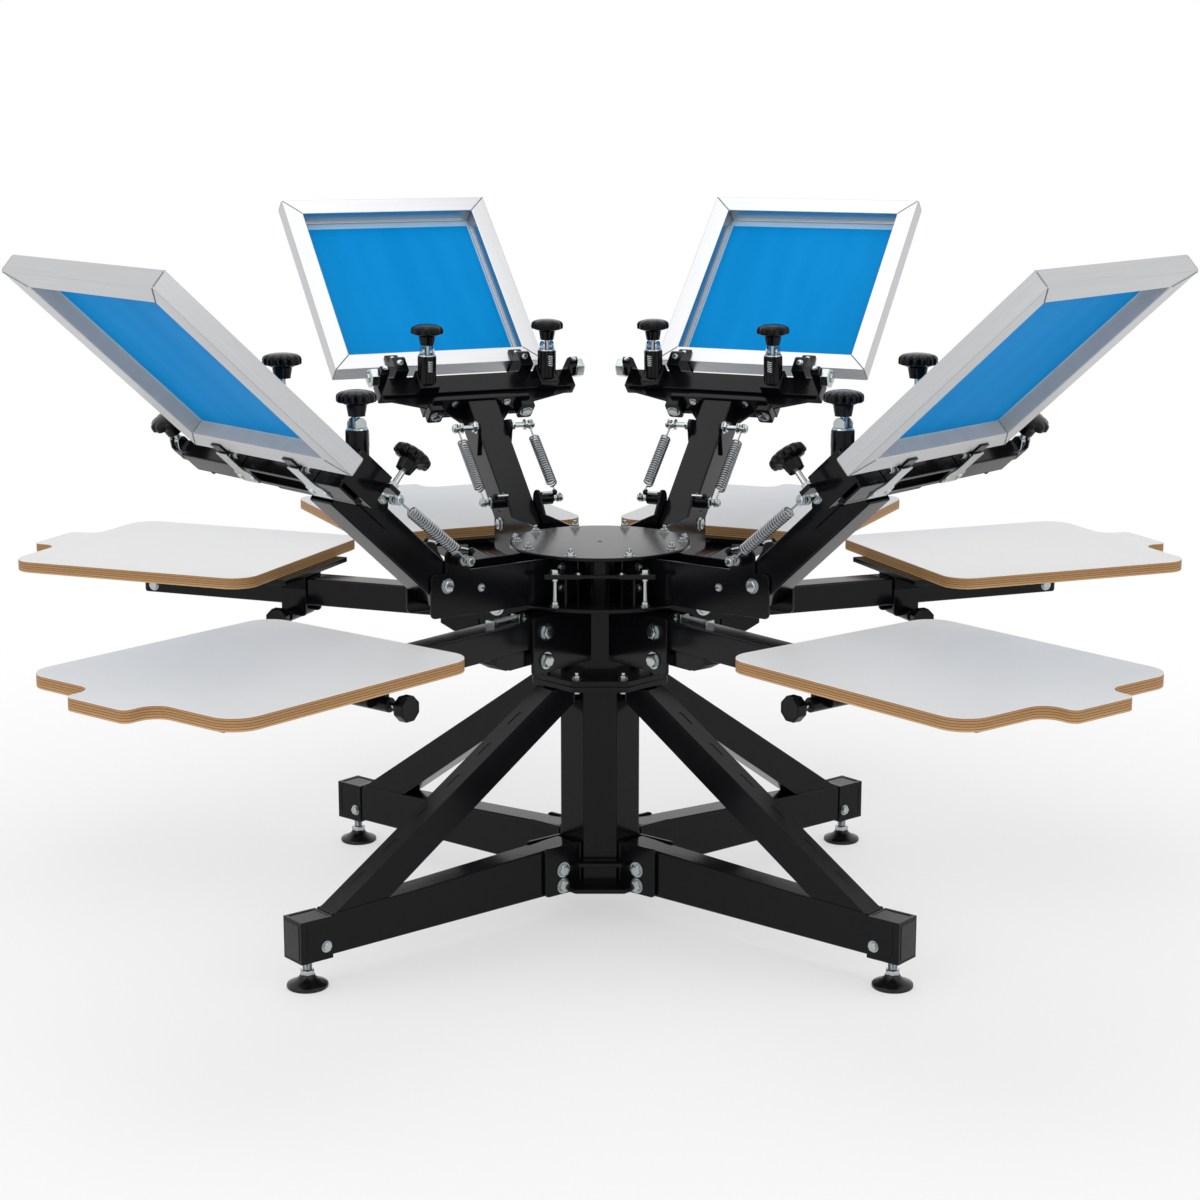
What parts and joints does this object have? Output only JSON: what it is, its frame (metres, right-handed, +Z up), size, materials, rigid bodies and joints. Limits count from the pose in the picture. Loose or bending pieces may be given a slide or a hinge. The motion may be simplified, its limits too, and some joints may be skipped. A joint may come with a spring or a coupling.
{
  "type": "screen printing press",
  "caption": "Hand-turned carousel press: hinged, spring-lifted screens swing down over sliding platens on a wheel that turns on a splayed column with levelling feet.",
  "frame": {"origin": "middle of the bounding box, on the floor", "axes": "+Z up, -Y towards the front, +X to the right as seen from the front; the wheels turn about a vertical axis 48.4 mm in front of the origin"},
  "size_m": [2.1156, 1.991, 1.2147],
  "materials": {
    "black_powder_coat": "semi-gloss black powder coat on steel",
    "black_plastic": "moulded black plastic",
    "zinc_plate": "zinc-plated spring steel",
    "brushed_aluminium": "brushed aluminium frame with blue-coated mesh",
    "white_laminate": "white laminate on birch plywood"
  },
  "bodies": {
    "base": {"column": "black_powder_coat", "leg_front_left": "black_powder_coat", "leg_back_left": "black_powder_coat", "leg_back_right": "black_powder_coat", "leg_front_right": "black_powder_coat"},
    "foot_front_left": {"levelling_foot_front_left": "black_plastic"},
    "foot_back_left": {"levelling_foot_back_left": "black_plastic"},
    "foot_back_right": {"levelling_foot_back_right": "black_plastic"},
    "foot_front_right": {"levelling_foot_front_right": "black_plastic"},
    "platen_wheel": {"platen_hub": "black_powder_coat", "platen_arm_front_left": "black_powder_coat", "platen_arm_left": "black_powder_coat", "platen_arm_back_left": "black_powder_coat", "platen_arm_back_right": "black_powder_coat", "platen_arm_right": "black_powder_coat", "platen_arm_front_right": "black_powder_coat"},
    "board_front_left": {"platen_front_left": "white_laminate", "platen_carriage_front_left": "black_powder_coat"},
    "lock_front_left": {"platen_lock_knob_front_left": "black_plastic"},
    "board_left": {"platen_left": "white_laminate", "platen_carriage_left": "black_powder_coat"},
    "lock_left": {"platen_lock_knob_left": "black_plastic"},
    "board_back_left": {"platen_back_left": "white_laminate", "platen_carriage_back_left": "black_powder_coat"},
    "lock_back_left": {"platen_lock_knob_back_left": "black_plastic"},
    "board_back_right": {"platen_back_right": "white_laminate", "platen_carriage_back_right": "black_powder_coat"},
    "lock_back_right": {"platen_lock_knob_back_right": "black_plastic"},
    "board_right": {"platen_right": "white_laminate", "platen_carriage_right": "black_powder_coat"},
    "lock_right": {"platen_lock_knob_right": "black_plastic"},
    "board_front_right": {"platen_front_right": "white_laminate", "platen_carriage_front_right": "black_powder_coat"},
    "lock_front_right": {"platen_lock_knob_front_right": "black_plastic"},
    "head_wheel": {"head_lower_plate": "black_powder_coat", "head_top_plate": "black_powder_coat", "head_yoke_front_left": "black_powder_coat", "head_yoke_back_left": "black_powder_coat", "head_yoke_back_right": "black_powder_coat", "head_yoke_front_right": "black_powder_coat", "lift_spring_front_left_a": "zinc_plate", "lift_spring_front_left_b": "zinc_plate", "lift_spring_back_left_a": "zinc_plate", "lift_spring_back_left_b": "zinc_plate", "lift_spring_back_right_a": "zinc_plate", "lift_spring_back_right_b": "zinc_plate", "lift_spring_front_right_a": "zinc_plate", "lift_spring_front_right_b": "zinc_plate"},
    "head_front_left": {"head_arm_front_left": "black_powder_coat", "screen_clamp_front_left": "black_powder_coat", "screen_front_left": "brushed_aluminium"},
    "head_back_left": {"head_arm_back_left": "black_powder_coat", "screen_clamp_back_left": "black_powder_coat", "screen_back_left": "brushed_aluminium"},
    "head_back_right": {"head_arm_back_right": "black_powder_coat", "screen_clamp_back_right": "black_powder_coat", "screen_back_right": "brushed_aluminium"},
    "head_front_right": {"head_arm_front_right": "black_powder_coat", "screen_clamp_front_right": "black_powder_coat", "screen_front_right": "brushed_aluminium"}
  },
  "joints": [
    {"name": "platen_wheel_spin", "type": "hinge", "parent": "base", "child": "platen_wheel", "pos_m": [0, -0.0484, 0.5], "axis": [0, 0, 1], "continuous": true},
    {"name": "head_wheel_spin", "type": "hinge", "parent": "base", "child": "head_wheel", "pos_m": [0, -0.0484, 0.62], "axis": [0, 0, 1], "continuous": true},
    {"name": "head_lift_front_left", "type": "hinge", "parent": "head_wheel", "child": "head_front_left", "pos_m": [-0.27128, -0.28506, 0.64], "axis": [0.6574, -0.7536, 0], "range_deg": [0, 42], "stiffness_Nm_per_rad": 30, "springref_deg": -114.59, "deforming": ["lift_spring_front_left_a", "lift_spring_front_left_b"]},
    {"name": "head_lift_back_left", "type": "hinge", "parent": "head_wheel", "child": "head_back_left", "pos_m": [-0.15214, 0.27787, 0.64], "axis": [-0.9063, -0.4226, 0], "range_deg": [0, 44.5], "stiffness_Nm_per_rad": 30, "springref_deg": -114.59, "deforming": ["lift_spring_back_left_a", "lift_spring_back_left_b"]},
    {"name": "head_lift_back_right", "type": "hinge", "parent": "head_wheel", "child": "head_back_right", "pos_m": [0.15214, 0.27787, 0.64], "axis": [-0.9063, 0.4226, 0], "range_deg": [0, 44.5], "stiffness_Nm_per_rad": 30, "springref_deg": -114.59, "deforming": ["lift_spring_back_right_a", "lift_spring_back_right_b"]},
    {"name": "head_lift_front_right", "type": "hinge", "parent": "head_wheel", "child": "head_front_right", "pos_m": [0.27128, -0.28506, 0.64], "axis": [0.6574, 0.7536, 0], "range_deg": [0, 42], "stiffness_Nm_per_rad": 30, "springref_deg": -114.59, "deforming": ["lift_spring_front_right_a", "lift_spring_front_right_b"]},
    {"name": "platen_slide_front_left", "type": "slide", "parent": "platen_wheel", "child": "board_front_left", "axis": [-0.628, -0.7782, 0], "range_m": [-0.03, 0.09]},
    {"name": "platen_lock_front_left", "type": "hinge", "parent": "board_front_left", "child": "lock_front_left", "pos_m": [-0.32222, -0.54009, 0.499], "axis": [0.7782, -0.628, 0], "continuous": true},
    {"name": "platen_slide_left", "type": "slide", "parent": "platen_wheel", "child": "board_left", "axis": [-0.9323, 0.3616, 0], "range_m": [-0.03, 0.09]},
    {"name": "platen_lock_left", "type": "hinge", "parent": "board_left", "child": "lock_left", "pos_m": [-0.56638, 0.10908, 0.499], "axis": [-0.3616, -0.9323, 0], "continuous": true},
    {"name": "platen_slide_back_left", "type": "slide", "parent": "platen_wheel", "child": "board_back_left", "axis": [-0.4083, 0.9128, 0], "range_m": [-0.03, 0.09]},
    {"name": "platen_lock_back_left", "type": "hinge", "parent": "board_back_left", "child": "lock_back_left", "pos_m": [-0.29182, 0.46192, 0.499], "axis": [-0.9128, -0.4083, 0], "continuous": true},
    {"name": "platen_slide_back_right", "type": "slide", "parent": "platen_wheel", "child": "board_back_right", "axis": [0.4083, 0.9128, 0], "range_m": [-0.03, 0.09]},
    {"name": "platen_lock_back_right", "type": "hinge", "parent": "board_back_right", "child": "lock_back_right", "pos_m": [0.29182, 0.46192, 0.499], "axis": [0.9128, -0.4083, 0], "continuous": true},
    {"name": "platen_slide_right", "type": "slide", "parent": "platen_wheel", "child": "board_right", "axis": [0.9323, 0.3616, 0], "range_m": [-0.03, 0.09]},
    {"name": "platen_lock_right", "type": "hinge", "parent": "board_right", "child": "lock_right", "pos_m": [0.56638, 0.10908, 0.499], "axis": [0.3616, -0.9323, 0], "continuous": true},
    {"name": "platen_slide_front_right", "type": "slide", "parent": "platen_wheel", "child": "board_front_right", "axis": [0.628, -0.7782, 0], "range_m": [-0.03, 0.09]},
    {"name": "platen_lock_front_right", "type": "hinge", "parent": "board_front_right", "child": "lock_front_right", "pos_m": [0.32222, -0.54009, 0.499], "axis": [-0.7782, -0.628, 0], "continuous": true},
    {"name": "foot_turn_front_left", "type": "hinge", "parent": "base", "child": "foot_front_left", "pos_m": [-0.47582, -0.43647, 0.02], "axis": [0, 0, 1], "continuous": true},
    {"name": "foot_turn_back_left", "type": "hinge", "parent": "base", "child": "foot_back_left", "pos_m": [-0.46966, 0.34709, 0.02], "axis": [0, 0, 1], "continuous": true},
    {"name": "foot_turn_back_right", "type": "hinge", "parent": "base", "child": "foot_back_right", "pos_m": [0.46966, 0.34709, 0.02], "axis": [0, 0, 1], "continuous": true},
    {"name": "foot_turn_front_right", "type": "hinge", "parent": "base", "child": "foot_front_right", "pos_m": [0.47582, -0.43647, 0.02], "axis": [0, 0, 1], "continuous": true}
  ]
}
